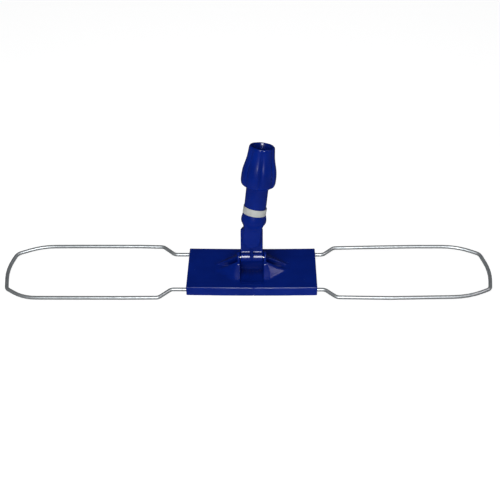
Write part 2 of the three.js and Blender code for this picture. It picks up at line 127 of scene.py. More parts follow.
def rod(p, axis, radius, low, high, edge=0.0, centre=(0, 0)):
    across = [i for i in range(3) if i != axis]
    r = np.hypot(p[:, across[0]] - centre[0], p[:, across[1]] - centre[1]) - radius + edge
    h = np.abs(p[:, axis] - (low + high) / 2) - (high - low) / 2 + edge
    return np.minimum(np.maximum(r, h), 0) + np.hypot(np.maximum(r, 0), np.maximum(h, 0)) - edge


def plane_through(p, a, b, c):
    """Signed distance to the plane of three points; they run anticlockwise seen from outside."""
    a, b, c = (np.array(v, float) for v in (a, b, c))
    normal = np.cross(b - a, c - a)
    return (p - a) @ (normal / np.linalg.norm(normal))


def turned(p, heights, radii):
    """A solid of revolution about +Z whose radius is given at a few heights."""
    z = p[:, 2]
    radius = np.interp(z, heights, radii)
    slope = (np.interp(z + 0.2, heights, radii) - np.interp(z - 0.2, heights, radii)) / 0.4
    side = (np.hypot(p[:, 0], p[:, 1]) - radius) / np.sqrt(1 + slope**2)
    return np.maximum(side, np.maximum(heights[0] - z, z - heights[-1]))


def thread_bump(p, start):
    """1 on the crest of the right-hand thread and 0 in its root."""
    turn = np.arctan2(p[:, 1], p[:, 0]) / (2 * math.pi)
    phase = (p[:, 2] - start) / THREAD_PITCH - turn
    from_crest = np.abs(phase - np.round(phase)) * THREAD_PITCH
    return np.clip((0.95 - from_crest) / 0.4, 0, 1)


# ---- From a distance function to a mesh -------------------------------------------------------
def gradient(distance, points, step=0.02):
    parts = []
    for axis in range(3):
        shift = np.zeros(3)
        shift[axis] = step
        parts.append((distance(points + shift) - distance(points - shift)) / (2 * step))
    return np.stack(parts, 1)


def settle(distance, points, home, reach, rounds):
    """Moves points onto the surface, and never further than reach from where they began."""
    for _ in range(rounds):
        slope = gradient(distance, points)
        size = np.maximum((slope**2).sum(1), 0.05)
        points = points - slope * (distance(points) / size)[:, None]
        points = home + np.clip(points - home, -reach, reach)
    return points


def grid_line(low, high, cell, fine=None, coarse=0.0):
    """Grid stations from low to high: cells are small inside the fine spans and coarse outside."""
    stations = [low - 1.5 * cell]
    while stations[-1] < high + 1.5 * cell:
        near = fine is None or any(a <= stations[-1] <= b for a, b in fine)
        stations.append(stations[-1] + (cell if near else coarse))
    return np.array(stations)


def skin_over(distance, low, high, cell, fine=(None, None, None), coarse=0.0):
    """Quads over the zero surface of a distance function, with their corners on the surface."""
    lines = [grid_line(*span, cell, spans, coarse) for *span, spans in zip(low, high, fine)]
    grid = np.stack(np.meshgrid(*lines, indexing="ij"), -1)
    inside = (distance(grid.reshape(-1, 3)) < 0).reshape(grid.shape[:3])
    n = np.array(inside.shape) - 1
    count = sum(
        inside[i : n[0] + i, j : n[1] + j, k : n[2] + k].astype(np.int8)
        for i in (0, 1) for j in (0, 1) for k in (0, 1)
    )
    mixed = (count > 0) & (count < 8)
    index = np.full(mixed.shape, -1)
    index[mixed] = np.arange(mixed.sum())
    home = (grid[:-1, :-1, :-1][mixed] + grid[1:, 1:, 1:][mixed]) / 2
    room = (grid[1:, 1:, 1:] - grid[:-1, :-1, :-1])[mixed]
    points = settle(distance, home, home, 0.75 * room, 4)
    quads = []
    for axis in range(3):
        b, c = [(1, 2), (2, 0), (0, 1)][axis]
        near = np.moveaxis(inside, (axis, b, c), (0, 1, 2))
        cells = np.moveaxis(index, (axis, b, c), (0, 1, 2))
        start, end = near[:-1, 1:-1, 1:-1], near[1:, 1:-1, 1:-1]
        ring = [cells[:, :-1, :-1], cells[:, 1:, :-1], cells[:, 1:, 1:], cells[:, :-1, 1:]]
        for crossing, order in ((start & ~end, ring), (~start & end, ring[::-1])):
            quads.append(np.stack([corner[crossing] for corner in order], 1))
    quads = np.concatenate(quads)
    for _ in range(2):
        points = settle(distance, relaxed(points, quads), home, 0.9 * room, 2)
    return on_creases(distance, points, quads, 0.55 * cell), quads


STEADY, TOUCHING, UNLIKE = 0.02, 0.04, 0.6


def on_creases(distance, points, quads, reach):
    """Moves points beside a sharp crease onto it, where their neighbours' planes meet.

    STEADY keeps the solution near the point on flat ground, TOUCHING is how far off the surface the
    new place may be, and UNLIKE is the cosine under which neighbouring normals make a crease.
    """
    normals = gradient(distance, points)
    normals /= np.linalg.norm(normals, axis=1)[:, None] + 1e-9
    planes = np.tile(STEADY * np.eye(3), (len(points), 1, 1))
    pull = np.zeros_like(points)
    likeness = np.ones(len(points))
    for k in range(4):
        for there in (quads[:, (k + 1) % 4], quads[:, (k + 2) % 4], quads[:, (k + 3) % 4]):
            here, facing = quads[:, k], normals[there]
            np.add.at(planes, here, facing[:, :, None] * facing[:, None, :])
            gap = (facing * (points[there] - points[here])).sum(1)
            np.add.at(pull, here, facing * gap[:, None])
            np.minimum.at(likeness, here, (normals[here] * facing).sum(1))
    move = np.linalg.solve(planes, pull[:, :, None])[:, :, 0]
    moved = points + move
    on_surface = np.abs(distance(moved)) < TOUCHING
    crease = (likeness < UNLIKE) & on_surface & (np.linalg.norm(move, axis=1) < reach)
    return np.where(crease[:, None], moved, points)


def relaxed(points, quads):
    """Each point moved half-way to the middle of its neighbours."""
    total = np.zeros_like(points)
    number = np.zeros(len(points))
    for k in range(4):
        a, b = quads[:, k], quads[:, (k + 1) % 4]
        for here, there in ((a, b), (b, a)):
            np.add.at(total, here, points[there])
            np.add.at(number, here, 1)
    return 0.5 * points + 0.5 * total / np.maximum(number, 1)[:, None]


SHARP_ANGLE = math.radians(50)


def new_piece(name, points, faces, place, material, body, slot, *nodes):
    """A smooth-shaded mesh that rides on a body and stands for CAD nodes."""
    mesh = bpy.data.meshes.new(name)
    matrix = np.array(place)
    points = np.asarray(points) @ matrix[:3, :3].T + matrix[:3, 3]
    mesh.from_pydata(points.tolist(), [], [list(map(int, f)) for f in faces])
    mesh.validate()
    mesh.polygons.foreach_set("use_smooth", [True] * len(mesh.polygons))
    mesh.set_sharp_from_angle(angle=SHARP_ANGLE)
    mesh.materials.append(material)
    piece = bpy.data.objects.new(name, mesh)
    bpy.context.scene.collection.objects.link(piece)
    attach(piece, body)
    if nodes:
        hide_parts(*nodes)
    return piece


def moulded(name, distance, low, high, cell, *rest, **grading):
    points, quads = skin_over(distance, low, high, cell, **grading)
    return new_piece(name, points, quads, *rest)


def revolved(outline, columns, shape=None):
    """Points and quads of a closed outline of [radius, height] turned about +Z."""
    angles = np.arange(columns) * 2 * math.pi / columns
    outline = np.asarray(outline, float)
    rows = []
    for angle in angles:
        radius, height = outline.T if shape is None else shape(outline, angle).T
        rows.append(np.stack([radius * math.cos(angle), radius * math.sin(angle), height], 1))
    n = len(outline)
    quads = [
        (i * n + k, ((i + 1) % columns) * n + k, ((i + 1) % columns) * n + (k + 1) % n,
         i * n + (k + 1) % n)
        for i in range(columns) for k in range(n)
    ]
    return np.concatenate(rows), quads


# ---- Plate ------------------------------------------------------------------------------------
def boss_shape(p, inset, bottom):
    """The raised mount: a ridge that falls outwards, with facets in front and behind."""
    q = np.abs(p)
    q[:, 2] = p[:, 2]
    peak = (EAR_OUTER, RIDGE_Y, RIDGE_Z)
    tip = (RIDGE_TIP, RIDGE_Y, PLATE_TOP)
    foot = (*FACET_FOOT, PLATE_TOP)
    strip = plane_through(q, peak, (peak[0], 0, peak[2]), (tip[0], 0, tip[2]))
    sag = np.clip((q[:, 0] - peak[0]) / (tip[0] - peak[0]), 0, 1)
    strip = strip + RIDGE_SAG * 4 * sag * (1 - sag)
    upper = plane_through(q, peak, tip, FACET_MIDDLE)
    lower = plane_through(q, FACET_MIDDLE, tip, foot)
    cheek = plane_through(q, peak, foot, (0, foot[1], foot[2]))
    facets = blend_both(upper, lower, 1.0)
    shape = blend_both(blend_both(strip, facets, 1.3), cheek, 1.3)
    shape = blend_both(shape, q[:, 2] - RIDGE_Z, 1.3) + inset
    shape = np.maximum(shape, EAR_INNER + (inset > 0) * (EAR_OUTER - EAR_INNER) - q[:, 0])
    half, floor = (RIDGE_Y, bottom) if inset else (RIDGE_Y - RIB, PLATE_TOP)
    channel = np.maximum(q[:, 1] - half, np.maximum(EAR_OUTER - q[:, 0], floor - q[:, 2]))
    return np.maximum(blend_cut(shape, channel, 0.8), bottom - q[:, 2])


def saddle_shape(p, inset, bottom):
    back = plane_through(
        p, (0, SADDLE_BACK, SADDLE_TOP), (1, SADDLE_BACK, SADDLE_TOP), (0, SADDLE_FOOT, PLATE_TOP)
    )
    shape = blend_both(p[:, 2] - SADDLE_TOP, back, 3.0) + inset
    shape = np.maximum(shape, np.abs(p[:, 0]) - (EAR_INNER + 0.5 - (inset > 0) * 2))
    front = (inset > 0) * (inset + wall_lean(p)) - p[:, 1]
    return np.maximum(shape, np.maximum(front, bottom - p[:, 2]))


def wall_lean(p):
    """How far the recess's rear wall stands back at each height: it leans over the neck's barrel."""
    return RECESS_LEAN * np.clip(SADDLE_TOP - p[:, 2], 0, 20)


def recess_shape(p, grow):
    """The pocket for the neck, with faint ribs along its floor."""
    floor = RECESS_FLOOR - p[:, 2]
    if not grow:
        floor = floor + RECESS_RIB_HEIGHT * np.cos(p[:, 0] * 2 * math.pi / RECESS_RIB_PITCH)
    shape = blend_both(floor, ramp_side(p), 5.0)
    walls = np.abs(p[:, 0]) - EAR_INNER - 0.02 * (p[:, 2] - RECESS_FLOOR)
    shape = blend_both(shape, walls, 1.2) - grow
    return np.maximum(shape, p[:, 1] - wall_lean(p) - grow)


def ramp_side(p):
    rise = (PLATE_TOP - RECESS_FLOOR) / (RECESS_RAMP - RECESS_FRONT)
    height = RECESS_FLOOR + (RECESS_RAMP - p[:, 1]) * rise
    return (height - p[:, 2]) / math.sqrt(1 + rise**2)


def cover_shape(p):
    x, y, z = p.T
    bend = PLATE_BOW * (1 - (x / HALF_LENGTH) ** 2)
    front = y < 0
    edge = np.where(front, FRONT_EDGE, REAR_EDGE)
    out = np.where(front, -bend - y, y + bend + REAR_DRAFT) + edge - HALF_DEPTH
    step = STEP_DEPTH * np.clip((z - LIP_STEP) / 0.4, 0, 1)
    out = out + step + edge_nick(p) * front
    up = z - PLATE_TOP + edge
    section = np.hypot(np.maximum(out, 0), np.maximum(up, 0))
    section = section + np.minimum(np.maximum(out, up), 0) - edge
    body = blend_both(section, np.abs(x) - HALF_LENGTH, 1.3)
    body = blend_union(body, boss_shape(p, 0, 10), 2.2)
    body = blend_union(body, ear_shape(p), 1.8)
    body = blend_union(body, saddle_shape(p, 0, 10), 1.0)
    body = np.maximum(body, np.minimum(EAR_INNER - np.abs(x), z - SADDLE_TOP))
    inner_x, inner_y = HALF_LENGTH - WALL, HALF_DEPTH - WALL
    hollow = block(p, (-inner_x, -inner_y, BELOW), (inner_x, inner_y, PLATE_TOP - SKIN), 1)
    under_skin = PLATE_TOP - SKIN - 1
    hollow = np.minimum(hollow, boss_shape(p, BOSS_SKIN, under_skin))
    hollow = np.minimum(hollow, saddle_shape(p, SKIN, under_skin))
    body = blend_cut(body, hollow, 0.5)
    under = np.maximum(recess_shape(p, WALL), z - (PLATE_TOP - 1))
    body = np.minimum(body, under)
    body = blend_cut(body, np.maximum(recess_shape(p, 0), z - 60), 1.6)
    return cover_fittings(p, body)


def edge_nick(p):
    """A small dent in the front edge, running back a few millimetres onto the top."""
    beside = (p[:, 0] - NICK[0]) - NICK_SLANT * (p[:, 1] - NICK[1])
    dent = np.exp(-((beside / NICK_WIDTH) ** 2)) * np.exp(-(((p[:, 1] - NICK[1]) / NICK_LENGTH) ** 2))
    return NICK_DEPTH * dent


def ear_shape(p):
    above = np.hypot(p[:, 1], np.maximum(p[:, 2] - HINGE_Z, 0)) - EAR_RADIUS
    flat = np.abs(np.abs(p[:, 0]) - (EAR_INNER + EAR_OUTER) / 2) - (EAR_OUTER - EAR_INNER) / 2
    return np.maximum(blend_both(above, flat, 2.0), 10 - p[:, 2])


def cover_fittings(p, body):
    """Screw bosses, clamp pads, wire notches and the pin's hole."""
    q = np.abs(p)
    q[:, 2] = p[:, 2]
    ceiling = PLATE_TOP - 1
    for x, y, low in ((CLAMP_X, CLAMP_Y, CLAMP_TOP), (BASE_X, BASE_Y, BASE_TOP)):
        post = rod(q, 2, SCREW_BOSS, low + CLEARANCE, ceiling, 0, (x, y))
        body = blend_union(body, post, 1.0)
        body = np.maximum(body, -rod(q, 2, SCREW_SHANK + CLEARANCE, BELOW, 13.2, 0, (x, y)))
    low, high = size_mm("wire_loop_right")
    wire_top = high.z + CLEARANCE
    notch = WIRE_RADIUS + CLEARANCE
    for leg in WIRE_LEGS:
        pad = block(q * (1, np.sign(leg), 1), (CLAMP_X - 4, -99, 0), (CLAMP_X + 4, 99, 14))
        pad = np.maximum(pad, np.maximum(np.abs(p[:, 1] - leg) - notch, wire_top - p[:, 2]))
        body = np.minimum(body, pad)
        slot = np.maximum(np.abs(p[:, 1] - leg) - notch, p[:, 2] - wire_top)
        slot = np.maximum(slot, np.abs(q[:, 0] - HALF_LENGTH) - 3)
        body = blend_cut(body, slot, 0.5)
    body = blend_cut(body, rod(p, 0, PIN + CLEARANCE, -40, 40, 0, (0, HINGE_Z)), 0.5)
    return blend_both(body, -p[:, 2], 0.6)


def base_shape(p):
    edge = WALL + CLEARANCE
    x, y = HALF_LENGTH - edge, HALF_DEPTH - edge
    body = block(p, (-x, -y, 0), (x, y, BASE_TOP), 0.45)
    q = np.abs(p)
    q[:, 2] = p[:, 2]
    for x0, x1 in ((12, 30), (36, 54), (60, 78)):
        well = block(q, (x0, -1, -5), (x1, 33, 0.5), 0.35)
        body = blend_cut(body, well, 0.5)
    seat = np.hypot(q[:, 0] - BASE_X, q[:, 1] - BASE_Y) - (SCREW_HEAD + 0.6 - 0.75 * p[:, 2])
    return blend_cut(body, np.maximum(seat * 0.8, BELOW - p[:, 2]), 0.2)


# ---- Neck -------------------------------------------------------------------------------------
def knuckle_shape(p):
    x, y, z = p.T
    barrel = rod(p, 0, BARREL, -BARREL_HALF, BARREL_HALF, 0.7)
    crown = np.hypot(x, z - PIVOT) - TONGUE_TOP
    sides = np.where(z < PIVOT, np.abs(x) - TONGUE_HALF, np.maximum(crown, np.abs(x) - TONGUE_HALF))
    sides = np.maximum(sides, np.where(z > PIVOT, crown, -99))
    tongue = blend_both(sides, np.abs(y) - TONGUE_THICK / 2, 2.0)
    tongue = np.maximum(tongue, -z)
    body = blend_union(barrel, tongue, 1.4)
    groove = block(p, (-99, -99, 8.4), (99, -3.4, 10.8), 0.3)
    body = blend_cut(body, groove, 0.5)
    body = blend_union(body, rod(p, 0, 0.8, 1 - BARREL_HALF, BARREL_HALF - 1, 0.3, (-5.4, 11.4)), 0.4)
    body = blend_union(body, block(p, (-1.9, -7.3, -1), (1.9, -2, 20.5), 0.5), 0.8)
    body = blend_union(body, block(p, (-0.25, -7.7, 0), (0.25, -2, 20.5), 0.2), 0.4)
    body = blend_cut(body, rod(p, 0, PIN + CLEARANCE, -40, 40), 0.4)
    return blend_cut(body, rod(p, 1, SIDE_PIN + CLEARANCE, -20, 20, 0, (0, PIVOT)), 0.4)


STEM_HEIGHTS = [16.5, 19.5, 22.5, 25.5, 28.2, 31, 34, 37, 40, 41.5, 95, 95.6, 114]
STEM_RADII = [14.1, 15.1, 16.9, 18.6, 19.3, 19.15, 18.7, 18.05, 17.3, TUBE, TUBE, 15.2, 15.2]


def socket_shape(p):
    x, y, z = p.T
    lug = np.where(z < 0, np.hypot(x, z) - LUG_HALF, np.abs(x) - LUG_HALF)
    cheeks = blend_both(lug, np.abs(y) - FORK_THICK / 2, 3.0)
    cheeks = np.maximum(cheeks, z - 28)
    stem = turned(p, STEM_HEIGHTS, STEM_RADII)
    threaded = (z > THREAD_START + 1) & (z < THREAD_START + 17)
    stem = stem - np.where(threaded, (TUBE - THREAD_ROOT) * thread_bump(p, THREAD_START + 2), 0)
    body = blend_union(cheeks, stem, 3.0)
    slot = np.maximum(np.abs(y) - SLOT / 2, np.where(z < 6, -99, np.hypot(x, z) - CROWN))
    body = blend_cut(body, slot, 0.8)
    bore = turned(
        p, [BORE_FLOOR, TUBE_END - 5, TUBE_END, TUBE_END + 9], [BORE, BORE, BORE + 1.9, BORE + 5]
    )
    body = blend_cut(body, bore, 0.4)
    body = np.maximum(body, -rod(p, 1, SIDE_PIN + CLEARANCE, 2 - FORK_THICK / 2, 30))
    seat = FORK_THICK / 2 - SIDE_PIN_DEPTH - CLEARANCE
    return blend_cut(body, rod(p, 1, SIDE_PIN_HEAD + CLEARANCE, seat, 30), 0.5)


# ---- Nut, ring and collet ----------------------------------------------------------------------
NUT_OUTSIDE = [
    (18.2, 83.5), (19.3, 83.6), (20.7, 84), (22.3, 84.7), (23.7, 85.7), (24.8, 87), (25.6, 88.8),
    (26.05, 91), (26.25, 94), (26.3, 97), (26.25, 100), (26.1, 103), (25.8, 106), (25.45, 109),
    (24.9, 112), (24.2, 115), (23.4, 118), (22.6, 121), (21.9, 124), (21.25, 127), (20.75, 130),
    (20.35, 133), (20, 136), (19.7, 139), (19.45, 141.8), (19.25, 143.9), (18.95, 145), (18.4, 145.7),
    (17.6, 146),
]
NUT_INSIDE = [
    (16.7, 145.8), (16.2, 145.2), (15.6, 138), (14.1, 138), (14.1, 136.3),
    (16.35, 136.3), (16.35, 116), (17, 113),
]
NUT_LOBES, FIRST_GROOVE = 7, math.radians(-87)
NUT_THREAD = (98.0, 110.0, 15.75)
GROOVE_AT = ([83.5, 86, 91, 98, 108, 120, 132, 142, 146], [0.4, 1.5, 2.6, 3.1, 3.0, 2.4, 1.9, 1.4, 0.6])


def nut_outline():
    """The nut's closed section, with rows close enough together inside to carry the thread."""
    thread_rows = [(17.0, z) for z in np.arange(112.5, 97, -0.5)]
    return np.array(NUT_OUTSIDE + NUT_INSIDE + thread_rows + [(17.0, 84.0), (17.2, 83.6)])


def nut_section(outline, angle):
    radius, height = outline.T.copy()
    outer = np.arange(len(radius)) < len(NUT_OUTSIDE)
    from_groove = abs(math.sin(NUT_LOBES / 2 * (angle - FIRST_GROOVE)))
    crease = (1 - from_groove) ** 2.6
    radius[outer] -= np.interp(height[outer], *GROOVE_AT) * crease
    low, high, crest = NUT_THREAD
    inner = ~outer & (height > low) & (height < high)
    points = np.stack([np.cos(angle) * radius, np.sin(angle) * radius, height], 1)
    bump = thread_bump(points, THREAD_START + 4)
    radius[inner] -= (17.0 - crest) * bump[inner]
    return np.stack([radius, height], 1)


RING_HEIGHT, RING_INNER, RING_OUTER, RING_MIDDLE = 10.6, 17.1, 17.9, 44.9
RING_BACK, RING_RIGHT = 2.2, 3.0


def ring_outline():
    h = RING_HEIGHT / 2
    outside = [
        (RING_OUTER - 0.35, -h), (RING_OUTER - 0.08, 0.25 - h), (RING_OUTER, 0.8 - h),
        (RING_OUTER - 0.12, -h / 2), (RING_OUTER - 0.16, 0), (RING_OUTER - 0.12, h / 2),
        (RING_OUTER, h - 0.8), (RING_OUTER - 0.08, h - 0.25), (RING_OUTER - 0.35, h),
    ]
    inside = [(RING_INNER + 0.1, h), (RING_INNER, h - 0.3), (RING_INNER, 0.3 - h),
              (RING_INNER + 0.1, -h)]
    return outside + inside


def ring_frame():
    tilt = Matrix.Rotation(math.radians(-RING_BACK), 4, "X")
    tilt = tilt @ Matrix.Rotation(math.radians(RING_RIGHT), 4, "Y")
    return HEAD_FRAME @ Matrix.Translation((0, 0, RING_MIDDLE)) @ tilt


def collet_shape(p):
    body = turned(p, [114.8, 119.6, 135.8], [13.8, 16, 16])
    body = np.maximum(body, 13.2 - np.hypot(p[:, 0], p[:, 1]))
    slots = np.minimum(np.abs(p[:, 0]), np.abs(p[:, 1])) - 0.8
    return np.maximum(body, -np.maximum(slots, p[:, 2] - 130.8))


# ---- Wire loops ---------------------------------------------------------------------------------
WIRE_RADIUS = (size_mm("wire_loop_right")[1].z - size_mm("wire_loop_right")[0].z) / 2
WIRE_Z = size_mm("wire_loop_right")[1].z - WIRE_RADIUS
WIRE_LEGS = (40.4, -41.8)
WIRE_SIDES, WIRE_STEP, WIRE_TURN, WIRE_CHAMFER = 14, 12, math.radians(7), 0.25
# Each loop's bends, from its rear hook to its front hook: x outwards from the cranks, y and the
# bend's radius. The loops are bent by hand, so no two corners are quite alike.
LEFT_BENDS = [
    (-66, 32.6, 0), (-66, 40.4, 4), (-1.5, 40.4, 11), (18, 59.4, 11), (56, 60.7, 90), (160, 60.7, 90),
    (216, 60.2, 90), (252.8, 41.8, 14), (260.6, 4, 110), (251.5, -40.6, 10), (222, -61, 63),
    (73, -60.9, 90), (16.2, -60.3, 9), (-1.9, -41.8, 9), (-66, -41.8, 4), (-66, -33.5, 0),
]
RIGHT_BENDS = [
    (-66, 32.6, 0), (-66, 40.4, 4), (0.3, 40.4, 11), (17.6, 57.3, 12), (108, 60, 300),
    (150, 60.9, 300), (217.5, 60.9, 90), (250.3, 42.2, 12), (259.1, 1, 110), (251.3, -39.4, 10),
    (217, -57.2, 110), (97, -60.2, 300), (16.4, -58.9, 11), (-0.9, -41.8, 10), (-66, -41.8, 4),
    (-66, -33.5, 0),
]


def rounded_run(corners, step_angle):
    """Straight runs joined by arcs: each corner is (x, y, bend radius)."""
    run = [np.array(corners[0][:2], float)]
    for before, here, after in zip(corners, corners[1:], corners[2:]):
        point = np.array(here[:2], float)
        into, out = (np.array(v[:2], float) - point for v in (before, after))
        into, out = into / np.linalg.norm(into), out / np.linalg.norm(out)
        half = math.acos(np.clip(into @ out, -1, 1)) / 2
        middle = (into + out) / np.linalg.norm(into + out) * here[2] / math.sin(half)
        arm = into * here[2] / math.tan(half) - middle
        turn = math.pi - 2 * half
        spin = -np.sign(into[0] * out[1] - into[1] * out[0])
        steps = max(2, math.ceil(turn / step_angle))
        for k in range(steps + 1):
            a = spin * turn * k / steps
            rotated = np.array([arm[0] * math.cos(a) - arm[1] * math.sin(a),
                                arm[0] * math.sin(a) + arm[1] * math.cos(a)])
            run.append(point + middle + rotated)
    run.append(np.array(corners[-1][:2], float))
    return np.array(run)


def even_run(run, longest):
    """The same run with no step longer than a given length."""
    points = [run[0]]
    for a, b in zip(run, run[1:]):
        pieces = max(1, math.ceil(np.linalg.norm(b - a) / longest))
        points += [a + (b - a) * k / pieces for k in range(1, pieces + 1)]
    return np.array(points)


def wire_mesh(side, crank, bends):
    """A round wire along the bends, mirrored to its side, with chamfered ends."""
    run = even_run(rounded_run(bends, WIRE_TURN), WIRE_STEP)
    ahead = np.gradient(run, axis=0)
    ahead /= np.linalg.norm(ahead, axis=1)[:, None]
    across = np.stack([-ahead[:, 1], ahead[:, 0]], 1)
    chamfer = WIRE_CHAMFER * WIRE_RADIUS
    scales = np.ones(len(run) + 2)
    scales[[0, -1]] = 1 - WIRE_CHAMFER
    run = np.concatenate([run[:1] - ahead[:1] * chamfer, run, run[-1:] + ahead[-1:] * chamfer])
    across = np.concatenate([across[:1], across, across[-1:]])
    sides = WIRE_SIDES
    angles = np.arange(sides) * 2 * math.pi / sides
    rings = []
    for point, normal, scale in zip(run, across, scales * WIRE_RADIUS):
        flat = point + normal * (np.cos(angles) * scale)[:, None]
        rings.append(np.stack(
            [side * (flat[:, 0] + crank), flat[:, 1], WIRE_Z + np.sin(angles) * scale], 1))
    points = np.concatenate(rings)
    faces = []
    for i in range(len(rings) - 1):
        for k in range(sides):
            a, b = i * sides + k, i * sides + (k + 1) % sides
            quad = (a, b, b + sides, a + sides)
            faces.append(quad if side > 0 else quad[::-1])
    first, last = list(range(sides)), list(range(len(points) - sides, len(points)))
    faces += [first[::-1], last] if side > 0 else [first, last[::-1]]
    return points, faces


# ---- Screws and pins ------------------------------------------------------------------------------
def flat_screw_shape(p):
    z = p[:, 2]
    heights = [0.2, 0.5, 2.1, 12, 12.8]
    radii = [SCREW_HEAD - 0.1, SCREW_HEAD - 0.25, SCREW_SHANK, SCREW_SHANK, 0.2]
    body = turned(p, heights, radii)
    cross = np.minimum(np.maximum(np.abs(p[:, 0]) - 0.4, np.abs(p[:, 1]) - 1.8),
                       np.maximum(np.abs(p[:, 1]) - 0.4, np.abs(p[:, 0]) - 1.8))
    return np.maximum(body, -np.maximum(cross, z - 1.3 + 0.35 * np.hypot(p[:, 0], p[:, 1])))


# ---- Materials --------------------------------------------------------------------------------------
class Nodes:
    """A material's node tree, with short calls to add and link nodes."""

    def __init__(self, name):
        self.material = bpy.data.materials.new(name)
        self.material.use_nodes = True
        self.tree = self.material.node_tree
        self.shader = self.tree.nodes["Principled BSDF"]
        coords = self.tree.nodes.new("ShaderNodeTexCoord")
        self.place = coords.outputs["Object"]

    def add(self, kind, inputs=None, **settings):
        node = self.tree.nodes.new("ShaderNode" + kind)
        for key, value in settings.items():
            setattr(node, key, value)
        for key, value in (inputs or {}).items():
            self.put(node.inputs[key], value)
        return node

    def put(self, socket, value):
        if isinstance(value, bpy.types.NodeSocket):
            self.tree.links.new(value, socket)
        else:
            socket.default_value = value

    def stretched(self, scale):
        return self.add("Mapping", {"Vector": self.place, "Scale": scale}).outputs["Vector"]

    def noise(self, scale, detail=3.0, roughness=0.5, stretch=(1, 1, 1)):
        inputs = {"Vector": self.stretched(stretch), "Scale": scale, "Detail": detail,
                  "Roughness": roughness}
        return self.add("TexNoise", inputs).outputs["Fac"]

    def remap(self, value, low, high, to_low, to_high):
        inputs = {"Value": value, "From Min": low, "From Max": high, "To Min": to_low,
                  "To Max": to_high}
        return self.add("MapRange", inputs).outputs["Result"]

    def tint(self, factor, dark, light):
        node = self.add("Mix", data_type="RGBA")
        self.put(node.inputs[0], factor)
        node.inputs[6].default_value = (*dark, 1)
        node.inputs[7].default_value = (*light, 1)
        return node.outputs[2]

    def over(self, factor, under, color):
        node = self.add("Mix", data_type="RGBA")
        self.put(node.inputs[0], factor)
        self.put(node.inputs[6], under)
        node.inputs[7].default_value = (*color, 1)
        return node.outputs[2]

    def bump(self, height, distance, strength=1.0, normal=None):
        node = self.add("Bump", {"Height": height, "Distance": distance, "Strength": strength})
        if normal is not None:
            self.put(node.inputs["Normal"], normal)
        return node.outputs["Normal"]

    def finish(self, **values):
        names = {"color": "Base Color", "roughness": "Roughness", "metallic": "Metallic",
                 "normal": "Normal", "ior": "IOR", "coat": "Coat Weight",
                 "coat_roughness": "Coat Roughness", "specular": "Specular IOR Level",
                 "glow": "Emission Color", "glow_strength": "Emission Strength"}
        for key, value in values.items():
            self.put(self.shader.inputs[names[key]], value)
        return self.material


def moulded_plastic(name, dark, light, scuff):
    """Glossy moulded plastic: uneven pigment, a slow flow ripple, fine grain and hairline scuffs."""
    n = Nodes(name)
    cloud = n.noise(28, 4, 0.55)
    color = n.tint(n.remap(cloud, 0.3, 0.7, 0, 1), dark, light)
    hairline = n.noise(420, 2, 0.6, (0.06, 1, 1))
    scratch = n.remap(hairline, 0.69, 0.76, 0, 1)
    patchy = n.remap(n.noise(11, 2), 0.45, 0.65, 0, 1)
    wear = n.add("Math", {0: scratch, 1: patchy}, operation="MULTIPLY").outputs[0]
    color = n.over(n.remap(wear, 0, 1, 0, 0.25), color, scuff)
    sheen = n.remap(n.noise(60, 5, 0.6), 0.3, 0.7, 0.18, 0.28)
    ripple = n.bump(n.noise(34, 2, 0.4), 0.0005, 0.3)
    ripple = n.bump(n.noise(130, 3, 0.55), 0.00022, 0.4, ripple)
    peel = n.bump(n.noise(420, 2, 0.5), 0.00005, 0.4, ripple)
    grain = n.bump(n.noise(1700, 2, 0.5), 0.00002, 0.3, peel)
    normal = n.bump(wear, 0.00003, 0.4, grain)
    return n.finish(color=color, roughness=sheen, normal=normal, specular=0.25)


def zinc_wire():
    """Galvanised wire: drawn streaks along the wire and small dull spangles."""
    n = Nodes("galvanised_wire")
    spangle = n.noise(260, 4, 0.6)
    streak = n.noise(900, 2, 0.5, (0.05, 1, 1))
    color = n.tint(n.remap(spangle, 0.3, 0.7, 0, 1), (0.40, 0.43, 0.45), (0.62, 0.65, 0.66))
    rough = n.remap(spangle, 0.3, 0.7, 0.5, 0.36)
    normal = n.bump(streak, 0.00008, 0.5, n.bump(spangle, 0.00012, 0.4))
    return n.finish(color=color, roughness=rough, metallic=0.75, normal=normal)


def band_plastic():
    n = Nodes("white_band")
    cloud = n.noise(90, 4, 0.6)
    color = n.tint(n.remap(cloud, 0.35, 0.7, 0, 1), (0.45, 0.46, 0.44), (0.55, 0.56, 0.54))
    return n.finish(color=color, roughness=n.remap(cloud, 0.3, 0.7, 0.38, 0.55),
                    normal=n.bump(n.noise(300, 3), 0.0001, 0.4))


def plated_steel():
    n = Nodes("plated_steel")
    cloud = n.noise(500, 4, 0.6)
    color = n.tint(n.remap(cloud, 0.3, 0.7, 0, 1), (0.45, 0.44, 0.40), (0.66, 0.65, 0.62))
    return n.finish(color=color, roughness=n.remap(cloud, 0.3, 0.7, 0.22, 0.4), metallic=1.0,
                    normal=n.bump(cloud, 0.00005, 0.5))


BLUE = moulded_plastic("blue_plastic", (0.0004, 0.0118, 0.172), (0.0009, 0.0162, 0.222), (0.02, 0.05, 0.26))
ZINC = zinc_wire()
BAND = band_plastic()
PLATED = plated_steel()


